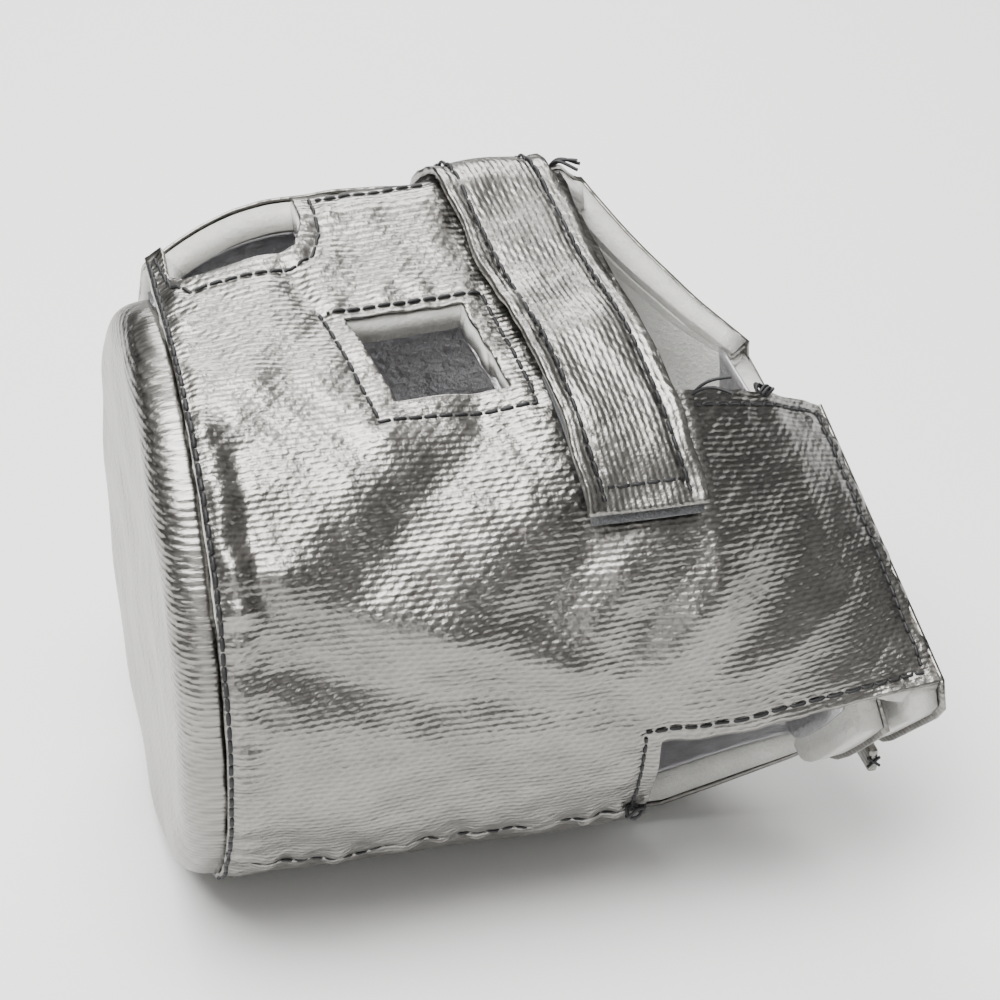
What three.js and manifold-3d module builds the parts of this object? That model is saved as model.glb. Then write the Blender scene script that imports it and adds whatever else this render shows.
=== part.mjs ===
// A slip-over heat shield for a mechanical fuel pump: a round pouch of aluminised glass cloth,
// needled felt and foil lining, with an end cap, a strap and a lapped end closure.
// Millimetres. The sleeve lies along X with its cap at the low end; angles run round its axis,
// 0 at the back (+Y), 90 at the top, 180 at the front and 270 at the bottom.
import * as THREE from 'three';
import { mergeVertices } from 'three/addons/utils/BufferGeometryUtils.js';
import Module from 'manifold-3d';

const wasm = await Module();
wasm.setup();

// Sleeve
const SLEEVE_RADIUS = 64;
const AXIS_HEIGHT = 63;
const SLEEVE_LENGTH = 147;
const TAPER_START = 104;
const CAP_REACH = 73;
const APEX_REACH = 87;
const APEX_RAMP = 32;
const APEX_ANGLE = 67;
const FLARE_ANGLE = 50;
const FLARE_START = 90;
const FLARE_END = 104;
const CORNER_SOFTNESS = 7;

// Corners of the flattened end, as [y, z] from the sleeve's axis
const END_TOP = [6, 25];
const END_FRONT = [-66, -13.5];
const END_BOTTOM = [-34, -45];
const END_FRONT_ANGLE = 200;
const END_BOTTOM_ANGLE = 235;
const END_SKEW = 9;

// Layers
const CLOTH = 0.8;
const FELT = 6;
const LINING = 0.6;
const PLY_GAP = 0.3;

// Panel edges
const BOTTOM_SEAM_ANGLE = 218;
const SEAM_GAP = 0.4;
const TOP_SLIT = 1.2;
const HEM_ANGLE = 122;
const HEM_INSET = 3.5;
const MOUTH_EDGE = [92.5, 101];

// Arch notch in the front panel's back edge
const ARCH_START = 4;
const ARCH_END = 33;
const ARCH_DEPTH_ANGLE = 81;
const ARCH_CORNER_RADIUS = 8;

// Window
const WINDOW_TOP = [37, 62];
const WINDOW_BOTTOM = [43.5, 67];
const WINDOW_ANGLES = [97, 118];
const WINDOW_HEM = 4.6;

// Notch at the bottom front of the open end
const NOTCH_START = 92;
const NOTCH_TOP_ANGLE = 193;
const NOTCH_BOTTOM_ANGLE = 247;

// End cap
const CAP_RADIUS = 62.5;
const CAP_PUFF = 9;
const CAP_SHOULDER = 9;
const CAP_GAP = 0.4;
const CAP_SEAM_END_ANGLE = 252;

// Strap with its hook tape, and the loop patch it grips
const STRAP_WIDTH = 25;
const STRAP_THICKNESS = 1.5;
const STRAP_FREE_END = [89.5, 145];
const STRAP_AT_APEX_X = 76;
const STRAP_BACK_ANGLE = 22;
const STRAP_STITCH_INSET = 3.6;
const STRAP_CROSS_INSET = 5;
const TAPE_THICKNESS = 1.1;
const TAPE_LENGTH = 30;
const TAPE_WIDTH = 23;
const TAPE_REACH = 1.5;
const RIDE_GAP = 0.5;

// Lapped end closure
const CLOSURE_PATCH = [17, 13];
const CLOSURE_PLACE = [-31, -21];
const TAB_SIZE = [9, 6, 2.4];
const FLAP_CORNER_TRIM = 2.5;

// Tuck flap of lining inside the mouth
const TUCK_THICKNESS = 0.8;
const TUCK_REACH = 13;
const TUCK_SLOPE = 1.1;
const TUCK_OVERLAP = 8;
const TUCK_TOP_ANGLE = 74;

// Sewing thread
const THREAD = 0.7;
const THREAD_STEP = 4;

// Mesh fineness: one step round the sleeve in degrees, and one along it
const ANGLE_STEP = 7;
const LENGTH_STEP = 11;

const DEGREE = Math.PI / 180;
const LAYER_DEPTHS = {
  cloth: [0, CLOTH],
  felt: [CLOTH + PLY_GAP, FELT],
  lining: [CLOTH + FELT + 2 * PLY_GAP, LINING],
};
const WALL = LAYER_DEPTHS.lining[0] + LINING;
const PATCH_GAP = 2 * TAPE_THICKNESS + 3 * PLY_GAP;
const INNER_END = SLEEVE_LENGTH - WALL - PATCH_GAP;

const FINISHES = {
  cloth: { color: '#b9babb', roughness: 0.3, metalness: 0.9 },
  felt: { color: '#d9d8d4', roughness: 1, metalness: 0 },
  lining: { color: '#7f8083', roughness: 0.5, metalness: 0.6 },
  hook: { color: '#6f7072', roughness: 1, metalness: 0 },
  thread: { color: '#121214', roughness: 0.7, metalness: 0 },
};

const shield = new THREE.Group();

function addPiece(name, finish, geometry) {
  const mesh = new THREE.Mesh(geometry, new THREE.MeshStandardMaterial(FINISHES[finish]));
  mesh.name = name;
  shield.add(mesh);
}

function ramp(value, start, end) {
  return THREE.MathUtils.clamp((value - start) / (end - start), 0, 1);
}

function mix(from, to, share) {
  return from + (to - from) * share;
}

function arcAngle(length) {
  return length / SLEEVE_RADIUS / DEGREE;
}

// The sleeve's section is a circle drawn out to an apex at its top back edge.
function apexAngle(x) {
  return mix(APEX_ANGLE, FLARE_ANGLE, THREE.MathUtils.smoothstep(x, FLARE_START, FLARE_END));
}

function ringPoint(angle, x) {
  const reach = mix(CAP_REACH, APEX_REACH, Math.sin(ramp(x, 0, APEX_RAMP) * Math.PI / 2));
  const lean = Math.acos(SLEEVE_RADIUS / reach) / DEGREE;
  const turn = angle - apexAngle(x);
  const away = Math.abs(turn - 360 * Math.round(turn / 360));
  const radius = SLEEVE_RADIUS / (away < lean ? Math.cos((lean - away) * DEGREE) : 1);
  const y = radius * Math.cos(angle * DEGREE);
  const z = radius * Math.sin(angle * DEGREE);
  return [y, z];
}

// The flattened end is a triangle, and its corners take up these angles of the sleeve.
function endPoint(angle) {
  const turn = ((angle - HEM_ANGLE) % 360 + 360) % 360;
  const stops = [HEM_ANGLE, END_FRONT_ANGLE, END_BOTTOM_ANGLE, FLARE_ANGLE + 360, HEM_ANGLE + 360].map(
    (stop) => stop - HEM_ANGLE,
  );
  const corners = [END_TOP, END_FRONT, END_BOTTOM, END_TOP, END_TOP];
  const side = stops.findIndex((stop, i) => turn <= stops[i + 1]);
  const share = ramp(turn, stops[side], stops[side + 1]);
  return [0, 1].map((i) => mix(corners[side][i], corners[side + 1][i], share));
}

// The section with soft corners, flat where it rests, and drawn to a triangle at the open end.
function sectionPoint(angle, x) {
  const share = ramp(x, TAPER_START, SLEEVE_LENGTH);
  const spread = [-1, -0.5, 0, 0.5, 1].map((step) => angle + step * CORNER_SOFTNESS);
  const rings = spread.map((near) => ringPoint(near, x));
  const ends = spread.map((near) => endPoint(near));
  const [y, z] = [0, 1].map((i) => {
    const total = spread.reduce((sum, _, k) => sum + mix(rings[k][i], ends[k][i], share), 0);
    return total / spread.length;
  });
  return new THREE.Vector3(x, y, Math.max(z, -AXIS_HEIGHT));
}

// The open end is cut askew: full skew over both end flaps, none where the sleeve is round.
function skewShare(x) {
  return ramp(x, TAPER_START, INNER_END - WALL);
}

function skewAt(y) {
  return END_SKEW * (END_TOP[0] - y) / (END_TOP[0] - END_FRONT[0]);
}

// A place on the sleeve: along it, round it, and in from its outer face within the section.
function place(x, angle, depth) {
  const probe = 0.5;
  const round = sectionPoint(angle + probe, x).sub(sectionPoint(angle - probe, x));
  const outward = new THREE.Vector3(0, round.z, -round.y).normalize();
  const point = sectionPoint(angle, x).addScaledVector(outward, -depth);
  point.x += skewShare(x) * skewAt(point.y);
  return point;
}

// Closed meshes are turned to solids here, cut or joined, and turned back.
function solidOf(geometry) {
  const bare = geometry.clone();
  bare.deleteAttribute('normal');
  bare.deleteAttribute('uv');
  const merged = mergeVertices(bare, 1e-4);
  const vertProperties = new Float32Array(merged.attributes.position.array);
  const triVerts = new Uint32Array(merged.index.array);
  return new wasm.Manifold(new wasm.Mesh({ numProp: 3, vertProperties, triVerts }));
}

function geometryOf(solid) {
  const mesh = solid.getMesh();
  const geometry = new THREE.BufferGeometry();
  geometry.setAttribute('position', new THREE.BufferAttribute(mesh.vertProperties, 3));
  geometry.setIndex(new THREE.BufferAttribute(mesh.triVerts, 1));
  geometry.computeVertexNormals();
  return geometry;
}

function bend(geometry, toPoint) {
  const position = geometry.attributes.position;
  for (let i = 0; i < position.count; i += 1) {
    const point = toPoint(position.getX(i), position.getY(i), position.getZ(i));
    position.setXYZ(i, point.x, point.y, point.z);
  }
  return geometry;
}

// Places along the sleeve for the rows of a ply, from the breaks that its edges need.
function rowsBetween(places) {
  const breaks = [...new Set(places)].sort((a, b) => a - b);
  const rows = [breaks[0]];
  for (let i = 1; i < breaks.length; i += 1) {
    const parts = Math.max(1, Math.round((breaks[i] - breaks[i - 1]) / LENGTH_STEP));
    for (let k = 1; k <= parts; k += 1) {
      rows.push(mix(breaks[i - 1], breaks[i], k / parts));
    }
  }
  return rows;
}

// A box's far face is cut along the other diagonals than its near face. Here both are cut alike,
// so that the plies lie evenly on each other.
function alignDiagonals(slab) {
  const { start, count } = slab.groups[5];
  const index = slab.index.array;
  for (let i = start; i < start + count; i += 6) {
    const [a, b, d, , c] = index.slice(i, i + 6);
    index.set([a, b, c, a, c, d], i);
  }
  return slab;
}

// One ply of the wall over its rows. Its edges and the lines between its spans are angles that may
// change along the sleeve, and neighbouring pieces of a ply share them where they meet.
function ply(rows, edges, depthAt, thickness) {
  const columns = [];
  for (let i = 0; i + 1 < edges.length; i += 1) {
    const width = edges[i + 1](NOTCH_START) - edges[i](NOTCH_START);
    const parts = Math.max(1, Math.round(width / ANGLE_STEP));
    for (let k = 0; k < parts; k += 1) {
      columns.push([i, k / parts]);
    }
  }
  columns.push([edges.length - 2, 1]);
  const slab = alignDiagonals(new THREE.BoxGeometry(1, 1, 1, columns.length - 1, rows.length - 1, 1));
  return bend(slab, (u, v, w) => {
    const x = rows[Math.round((v + 0.5) * (rows.length - 1))];
    const [span, share] = columns[Math.round((u + 0.5) * (columns.length - 1))];
    const angle = mix(edges[span](x), edges[span + 1](x), share);
    return place(x, angle, depthAt(x, angle) + (0.5 - w) * thickness);
  });
}

// A cutter through the whole wall, from an outline of [x, angle] points.
function wallCutter(outline) {
  const shape = new THREE.Shape(outline.map(([x, angle]) => new THREE.Vector2(angle, x)));
  const outer = -8;
  const inner = WALL + 8;
  const block = new THREE.ExtrudeGeometry(shape, { depth: 1, steps: 1, bevelEnabled: false });
  return solidOf(bend(block, (angle, x, w) => place(x, angle, mix(inner, outer, w))));
}

// Points of a polygon of [x, angle] corners, each rounded by its radius in millimetres.
function roundedOutline(corners) {
  const flat = corners.map(([x, angle, radius]) => ({
    at: new THREE.Vector2(x, angle / arcAngle(1)), radius: radius ?? 0,
  }));
  const points = [];
  flat.forEach(({ at, radius }, i) => {
    const before = flat[(i + flat.length - 1) % flat.length].at;
    const after = flat[(i + 1) % flat.length].at;
    const start = at.clone().addScaledVector(before.clone().sub(at).normalize(), radius);
    const end = at.clone().addScaledVector(after.clone().sub(at).normalize(), radius);
    const curve = new THREE.QuadraticBezierCurve(start, at, end);
    points.push(...(radius > 0 ? curve.getPoints(4) : [at]));
  });
  return points.map((point) => [point.x, point.y * arcAngle(1)]);
}

function densified(outline, closed) {
  const points = [];
  const last = closed ? outline.length : outline.length - 1;
  for (let i = 0; i < last; i += 1) {
    const [x, angle] = outline[i];
    const [nextX, nextAngle] = outline[(i + 1) % outline.length];
    const length = Math.hypot(nextX - x, (nextAngle - angle) / arcAngle(1));
    const parts = Math.max(1, Math.ceil(length / THREAD_STEP));
    for (let k = 0; k < parts; k += 1) {
      points.push([mix(x, nextX, k / parts), mix(angle, nextAngle, k / parts)]);
    }
  }
  return closed ? points : [...points, outline[outline.length - 1]];
}

const ARCH_OUTLINE = roundedOutline([
  [ARCH_START, APEX_ANGLE - 12], [ARCH_END, APEX_ANGLE - 12],
  [ARCH_END, ARCH_DEPTH_ANGLE, ARCH_CORNER_RADIUS], [ARCH_START, ARCH_DEPTH_ANGLE, ARCH_CORNER_RADIUS],
]);
const WINDOW_CORNERS = [
  [WINDOW_TOP[0], WINDOW_ANGLES[0]], [WINDOW_TOP[1], WINDOW_ANGLES[0]],
  [WINDOW_BOTTOM[1], WINDOW_ANGLES[1]], [WINDOW_BOTTOM[0], WINDOW_ANGLES[1]],
];
// Lines along the sleeve where the panels' edges and cuts lie
const slitLine = () => APEX_ANGLE + arcAngle(TOP_SLIT);
const hemLine = () => HEM_ANGLE;
const notchTopLine = () => NOTCH_TOP_ANGLE;
const frontSeamLine = () => BOTTOM_SEAM_ANGLE;
const backSeamLine = () => BOTTOM_SEAM_ANGLE + arcAngle(SEAM_GAP);
const notchBottomLine = () => NOTCH_BOTTOM_ANGLE;
const rimLine = (x) => apexAngle(x) + 360;

// The front panel's edge at the mouth runs from the apex down to the hem of the open end.
const MOUTH_OUTLINE = [
  [MOUTH_EDGE[0], APEX_ANGLE - 12], [MOUTH_EDGE[0], APEX_ANGLE], [MOUTH_EDGE[1], HEM_ANGLE],
  [MOUTH_EDGE[1] + 2, HEM_ANGLE - 1], [MOUTH_EDGE[1] + 2, APEX_ANGLE - 12],
];

function joined(geometries) {
  return geometries.map(solidOf).reduce((whole, piece) => whole.add(piece));
}

function anglesBetween(from, to) {
  const parts = Math.ceil((to - from) / ANGLE_STEP);
  return Array.from({ length: parts + 1 }, (_, i) => mix(from, to, i / parts));
}

// The outer flap fills the end triangle. Each ply meets the same ply of the front panel along its
// top, and its other two sides are the triangle's, drawn in by the ply's depth.
function outerFlapOutline(x, depth) {
  const [top, front, bottom] = [END_TOP, END_FRONT, END_BOTTOM].map(([y, z]) => new THREE.Vector3(0, y, z));
  const sides = [front.distanceTo(bottom), bottom.distanceTo(top), top.distanceTo(front)];
  const around = sides[0] + sides[1] + sides[2];
  const inset = (depth + PLY_GAP) * around / 2;
  const share = 1 - inset / new THREE.Triangle(top, front, bottom).getArea();
  const centre = new THREE.Vector3();
  [top, front, bottom].forEach((corner, i) => centre.addScaledVector(corner, sides[i] / around));
  const drawIn = (point) => point.sub(centre).multiplyScalar(share).add(centre);
  const trim = arcAngle(depth) * FLAP_CORNER_TRIM;
  const topSide = anglesBetween(HEM_ANGLE + trim, NOTCH_TOP_ANGLE - trim);
  const lowSides = anglesBetween(NOTCH_TOP_ANGLE + 2 * ANGLE_STEP, FLARE_ANGLE + 360 - ANGLE_STEP);
  return [
    ...topSide.map((angle) => place(x, angle, depth + PLY_GAP / 2)),
    ...lowSides.map((angle) => drawIn(place(SLEEVE_LENGTH, angle, 0))),
  ];
}

// The inner flap stays clear of the front panel's lining, and meets the back panel ply for ply.
function innerFlapOutline(x, depth) {
  const topSide = anglesBetween(HEM_ANGLE, NOTCH_TOP_ANGLE - 2 * ANGLE_STEP);
  const lowSides = anglesBetween(NOTCH_TOP_ANGLE + 2 * ANGLE_STEP, FLARE_ANGLE + 360 - ANGLE_STEP);
  return [
    ...topSide.map((angle) => place(x, angle, WALL + 3 * PLY_GAP)),
    ...lowSides.map((angle) => place(x, angle, depth + PLY_GAP / 2)),
  ];
}

// A flap's ply between its outer face at x and its inner face, each with its own outline.
function flapPlate(x, thickness, outlineAt) {
  const outer = outlineAt(x);
  const inner = outlineAt(x - thickness);
  const shape = new THREE.Shape(outer.map((point) => new THREE.Vector2(point.y, point.z)));
  const plate = new THREE.ExtrudeGeometry(shape, { depth: 1, steps: 1, bevelEnabled: false });
  return bend(plate, (y, z, w) => {
    const gaps = outer.map((point) => Math.hypot(point.y - y, point.z - z));
    const corner = gaps.indexOf(Math.min(...gaps));
    const point = (w > 0.5 ? outer : inner)[corner];
    return new THREE.Vector3(x - (1 - w) * thickness + skewAt(point.y), point.y, point.z);
  });
}

function frontPanelLayer(layer) {
  const [depth, thickness] = LAYER_DEPTHS[layer];
  const end = SLEEVE_LENGTH - depth;
  const [mouthStart, mouthEnd] = MOUTH_EDGE;
  const sheet = (breaks, ...edges) => ply(rowsBetween(breaks), edges, () => depth, thickness);
  const sheets = joined([
    sheet([CAP_GAP, NOTCH_START], slitLine, hemLine, notchTopLine, frontSeamLine),
    sheet([NOTCH_START, mouthStart, mouthEnd], slitLine, hemLine, notchTopLine),
    sheet([mouthEnd, TAPER_START, INNER_END - WALL, SLEEVE_LENGTH - WALL, end], hemLine, notchTopLine),
    flapPlate(end, thickness, (x) => outerFlapOutline(x, depth)),
  ]);
  const panel = [ARCH_OUTLINE, WINDOW_CORNERS, MOUTH_OUTLINE].reduce(
    (solid, outline) => solid.subtract(wallCutter(densified(outline, true))), sheets,
  );
  addPiece(`front_panel_${layer}`, layer, geometryOf(panel));
}

function backPanelLayer(layer) {
  const [depth, thickness] = LAYER_DEPTHS[layer];
  const end = INNER_END - depth;
  const sheet = (breaks, ...edges) => ply(rowsBetween(breaks), edges, () => depth, thickness);
  addPiece(`back_panel_${layer}`, layer, geometryOf(joined([
    sheet([CAP_GAP, FLARE_START, NOTCH_START], backSeamLine, notchBottomLine, rimLine),
    sheet([NOTCH_START, FLARE_END, TAPER_START, INNER_END - WALL, end], notchBottomLine, rimLine),
    flapPlate(end, thickness, (x) => innerFlapOutline(x, depth)),
  ])));
}

// The cap is a stack of shallow dishes, turned about the sleeve's axis.
function capLayer(layer) {
  const [depth, thickness] = LAYER_DEPTHS[layer];
  const dish = (inset) => {
    const face = -CAP_PUFF + inset;
    const rim = CAP_RADIUS - inset;
    const shoulder = new THREE.QuadraticBezierCurve(
      new THREE.Vector2(rim - CAP_SHOULDER, face), new THREE.Vector2(rim, face),
      new THREE.Vector2(rim, 0),
    );
    return [new THREE.Vector2(0, face), ...shoulder.getPoints(5)];
  };
  const profile = [...dish(depth), ...dish(depth + thickness).reverse()];
  const turned = new THREE.LatheGeometry(profile, 48);
  turned.rotateZ(-Math.PI / 2);
  addPiece(`cap_${layer}`, layer, geometryOf(uprightSolid(turned)));
}

// A lathe turned the other way round has its faces pointing in, and these are flipped.
function uprightSolid(geometry) {
  const index = geometry.index.array;
  const signed = (solidVolume(geometry) < 0);
  if (signed) {
    for (let i = 0; i < index.length; i += 3) {
      [index[i + 1], index[i + 2]] = [index[i + 2], index[i + 1]];
    }
  }
  return solidOf(geometry);
}

function solidVolume(geometry) {
  const corner = (i) => new THREE.Vector3().fromBufferAttribute(
    geometry.attributes.position, geometry.index.array[i],
  );
  let volume = 0;
  for (let i = 0; i < geometry.index.count; i += 3) {
    volume += corner(i).dot(corner(i + 1).cross(corner(i + 2))) / 6;
  }
  return volume;
}

// The strap's middle line, from its free end (share 0) over the apex and down the back (share 1).
function strapMiddle(share) {
  const [freeX, freeAngle] = STRAP_FREE_END;
  const angle = mix(freeAngle, STRAP_BACK_ANGLE, share);
  const slope = (STRAP_AT_APEX_X - freeX) / (APEX_ANGLE - freeAngle);
  return [freeX + slope * (angle - freeAngle), angle];
}

const STRAP_ARC = (STRAP_FREE_END[1] - STRAP_BACK_ANGLE) / arcAngle(1);
const STRAP_LIFT = TAPE_THICKNESS * 2 + RIDE_GAP * 3;

// How far the strap stands off the cloth: over the tape at its end, and close to the cloth past it.
function strapStandOff(share) {
  const settle = ramp(share * STRAP_ARC, TAPE_LENGTH + 2 * THREAD_STEP, TAPE_LENGTH * 2);
  return mix(STRAP_LIFT, RIDE_GAP, settle);
}

function strapPiece(name, finish, shares, width, liftAt, thickness) {
  const steps = Math.max(2, Math.round((shares[1] - shares[0]) * STRAP_ARC / THREAD_STEP));
  const band = alignDiagonals(new THREE.BoxGeometry(1, 1, 1, steps, 2, 1));
  addPiece(name, finish, bend(band, (u, v, w) => {
    const share = mix(shares[1], shares[0], u + 0.5);
    const [x, angle] = strapMiddle(share);
    return place(x + v * width, angle, -liftAt(share) - (w + 0.5) * thickness);
  }));
}

function strapPieces() {
  const tapeShare = TAPE_LENGTH / STRAP_ARC;
  const tapeStart = -TAPE_REACH / STRAP_ARC;
  strapPiece('strap', 'cloth', [0, 1], STRAP_WIDTH, strapStandOff, STRAP_THICKNESS);
  strapPiece('strap_hook_tape', 'hook', [tapeStart, tapeShare], TAPE_WIDTH,
    () => TAPE_THICKNESS + RIDE_GAP * 2, TAPE_THICKNESS);
  strapPiece('front_loop_patch', 'hook', [tapeStart, tapeShare], TAPE_WIDTH,
    () => RIDE_GAP, TAPE_THICKNESS);
}

// Hook and loop patches between the lapped end flaps, and the tab under the outer flap.
function closurePieces() {
  const [width, height] = CLOSURE_PATCH;
  const inner = INNER_END + PLY_GAP;
  const names = ['closure_loop_patch', 'closure_hook_patch'];
  names.forEach((name, i) => {
    const patch = new THREE.BoxGeometry(TAPE_THICKNESS, width, height);
    patch.translate(inner + TAPE_THICKNESS / 2 + i * (TAPE_THICKNESS + PLY_GAP), ...CLOSURE_PLACE);
    addPiece(name, 'hook', bend(patch, (x, y, z) => new THREE.Vector3(x + skewAt(y), y, z)));
  });
  const foot = outerFlapOutline(SLEEVE_LENGTH, LAYER_DEPTHS.felt[0]).reduce((low, at) => (at.z < low.z ? at : low));
  const [tabWidth, tabHeight, tabThickness] = TAB_SIZE;
  const tab = new THREE.BoxGeometry(tabThickness, tabWidth, tabHeight, 1, 4, 1);
  const drop = foot.z - PLY_GAP - tabHeight / 2;
  tab.translate(SLEEVE_LENGTH - WALL / 2 + skewAt(foot.y), foot.y, drop);
  addPiece('closure_tab', 'cloth', tab);
}

// The tuck flap leaves the front panel's lining at the mouth and slopes down into the sleeve.
function tuckFlap() {
  const depthAt = (x, angle) => {
    const edge = mix(MOUTH_EDGE[0], MOUTH_EDGE[1], ramp(angle, APEX_ANGLE, HEM_ANGLE));
    return WALL + RIDE_GAP + TUCK_SLOPE * Math.max(0, x - edge);
  };
  const rows = rowsBetween([MOUTH_EDGE[0] - TUCK_OVERLAP, ...MOUTH_EDGE, MOUTH_EDGE[1] + TUCK_REACH]);
  const flap = ply(rows, [() => TUCK_TOP_ANGLE, hemLine], depthAt, TUCK_THICKNESS);
  addPiece('tuck_flap', 'lining', flap);
}

// A run of stitching, as a thread lying on the cloth along a route of [x, angle] points.
function seam(name, route, standOff = () => 0) {
  const points = densified(route, false).map(([x, angle], i, all) => {
    const lift = standOff(i / (all.length - 1));
    return place(x, angle, -lift - PLY_GAP - THREAD / 2);
  });
  const path = new THREE.CatmullRomCurve3(points, false, 'centripetal');
  const half = THREAD / 2;
  const section = new THREE.Shape([[-half, 0], [0, -half], [half, 0], [0, half]].map(
    ([x, y]) => new THREE.Vector2(x, y),
  ));
  const options = { steps: points.length - 1, bevelEnabled: false, extrudePath: path };
  addPiece(name, 'thread', new THREE.ExtrudeGeometry(section, options));
}

function strapSide(side) {
  const route = [0, 1].map((share) => {
    const [x, angle] = strapMiddle(mix(STRAP_CROSS_INSET / STRAP_ARC / 2, 0.8, share));
    return [x + side * (STRAP_WIDTH / 2 - STRAP_STITCH_INSET), angle];
  });
  return route;
}

function strapSeams() {
  const onStrap = (share) => strapStandOff(share * 0.8) + STRAP_THICKNESS;
  seam('strap_left_seam', strapSide(-1), onStrap);
  seam('strap_right_seam', strapSide(1), onStrap);
  const [x, angle] = strapMiddle(STRAP_CROSS_INSET / STRAP_ARC);
  const reach = STRAP_WIDTH / 2 - STRAP_STITCH_INSET - THREAD * 2;
  const overSides = () => STRAP_LIFT + STRAP_THICKNESS;
  seam('strap_cross_seam', [[x - reach, angle], [x + reach, angle]], overSides);
}

function panelSeams() {
  const inset = arcAngle(HEM_INSET);
  const archEnd = [ARCH_END + HEM_INSET, APEX_ANGLE + inset];
  const arch = roundedOutline([
    [ARCH_START - HEM_INSET / 2, APEX_ANGLE + inset],
    [ARCH_START, ARCH_DEPTH_ANGLE + inset, ARCH_CORNER_RADIUS / 2],
    [ARCH_END + HEM_INSET, ARCH_DEPTH_ANGLE + inset, ARCH_CORNER_RADIUS], archEnd,
  ]);
  seam('arch_seam', arch);
  const strapLeft = STRAP_AT_APEX_X - STRAP_WIDTH / 2 - THREAD * 2;
  seam('top_hem_seam', [[archEnd[0] + THREAD * 2, archEnd[1]], [strapLeft, archEnd[1]]]);
  windowSeam();
  const hem = HEM_ANGLE + inset;
  const side = SLEEVE_LENGTH - HEM_INSET;
  seam('front_hem_seam', [[TAPER_START + THREAD, hem], [side - THREAD * 2, hem]]);
  const notchHem = NOTCH_TOP_ANGLE - inset;
  seam('end_edge_seam', [[side, hem], [side, notchHem - inset / 2]]);
  const notchRoute = [[NOTCH_START - HEM_INSET, notchHem], [TAPER_START, notchHem], [side, notchHem]];
  seam('notch_hem_seam', notchRoute, () => PLY_GAP);
  const notchSide = NOTCH_START - HEM_INSET;
  seam('notch_side_seam', [[notchSide, notchHem + inset / 2], [notchSide, BOTTOM_SEAM_ANGLE - inset]]);
  seam('bottom_seam', [[CAP_GAP + HEM_INSET, BOTTOM_SEAM_ANGLE], [NOTCH_START - THREAD, BOTTOM_SEAM_ANGLE]]);
  const turn = [[CAP_GAP + THREAD, APEX_ANGLE + inset], [CAP_GAP + THREAD, CAP_SEAM_END_ANGLE]];
  seam('cap_seam', turn);
}

function windowSeam() {
  const out = arcAngle(WINDOW_HEM);
  const [topLeft, topRight, bottomRight, bottomLeft] = WINDOW_CORNERS;
  seam('window_seam', [
    [topLeft[0] - WINDOW_HEM, topLeft[1] - out * 0.5],
    [bottomLeft[0] - WINDOW_HEM, bottomLeft[1] + out],
    [bottomRight[0] + WINDOW_HEM, bottomRight[1] + out],
    [topRight[0] + WINDOW_HEM, topRight[1] - out * 0.5],
    [topLeft[0] - WINDOW_HEM + THREAD * 2, topLeft[1] - out * 0.5],
  ]);
}

Object.keys(LAYER_DEPTHS).forEach((layer) => {
  frontPanelLayer(layer);
  backPanelLayer(layer);
  capLayer(layer);
});
strapPieces();
closurePieces();
tuckFlap();
strapSeams();
panelSeams();

// The part's own origin is under the middle of its box, on the surface it lies on.
const box = new THREE.Box3().setFromObject(shield);
const middle = box.getCenter(new THREE.Vector3());
shield.position.set(-middle.x, -middle.y, -box.min.z);

const part = new THREE.Group();
part.add(shield);

export default part;
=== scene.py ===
"""The look of the fuel pump heat shield: aluminised cloth, felt, lining, hook and loop tape and thread."""

import logging
import math
from dataclasses import dataclass
from enum import Enum
from typing import Callable, Sequence

import bmesh
import bpy
import numpy as np
from mathutils import Euler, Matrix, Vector


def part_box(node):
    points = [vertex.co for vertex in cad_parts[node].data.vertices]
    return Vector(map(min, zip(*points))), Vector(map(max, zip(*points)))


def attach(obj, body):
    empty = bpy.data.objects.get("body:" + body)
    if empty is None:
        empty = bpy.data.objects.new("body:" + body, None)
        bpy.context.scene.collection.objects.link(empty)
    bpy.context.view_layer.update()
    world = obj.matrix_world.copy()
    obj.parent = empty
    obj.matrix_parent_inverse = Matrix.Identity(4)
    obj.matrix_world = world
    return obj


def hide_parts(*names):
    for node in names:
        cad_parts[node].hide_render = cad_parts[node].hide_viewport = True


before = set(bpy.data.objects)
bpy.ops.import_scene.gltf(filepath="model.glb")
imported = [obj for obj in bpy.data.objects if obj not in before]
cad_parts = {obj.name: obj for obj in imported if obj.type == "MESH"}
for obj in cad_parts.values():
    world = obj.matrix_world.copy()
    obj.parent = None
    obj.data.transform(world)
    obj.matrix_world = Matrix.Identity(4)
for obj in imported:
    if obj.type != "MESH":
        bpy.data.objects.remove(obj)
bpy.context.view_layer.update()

LOG = logging.getLogger("heat_shield")
MM = 0.001
DEGREE = math.pi / 180

Route = Sequence[tuple[float, float]]
Bend = Callable[[np.ndarray, np.ndarray], np.ndarray]


def ramp(value: np.ndarray | float, start: float, end: float) -> np.ndarray | float:
    """Gives how far a value is between two others.

    Args:
        value: The value or values.
        start: Where the result is 0.
        end: Where the result is 1.

    Returns:
        The share, held between 0 and 1.
    """
    return np.clip((value - start) / (end - start), 0, 1)


def mix(first: float, second: float, share: np.ndarray | float) -> np.ndarray | float:
    """Mixes two values.

    Args:
        first: The value at share 0.
        second: The value at share 1.
        share: How far to go from the first to the second.

    Returns:
        The mixed value.
    """
    return first + (second - first) * share


@dataclass(frozen=True)
class Fold:
    """A ridge or valley in the cloth, between two [along, angle] places.

    Args:
        start: Where it begins.
        end: Where it ends.
        width: Half its width in millimetres.
        height: How far it stands out in millimetres, below 0 for a valley.
    """

    start: tuple[float, float]
    end: tuple[float, float]
    width: float
    height: float


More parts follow.
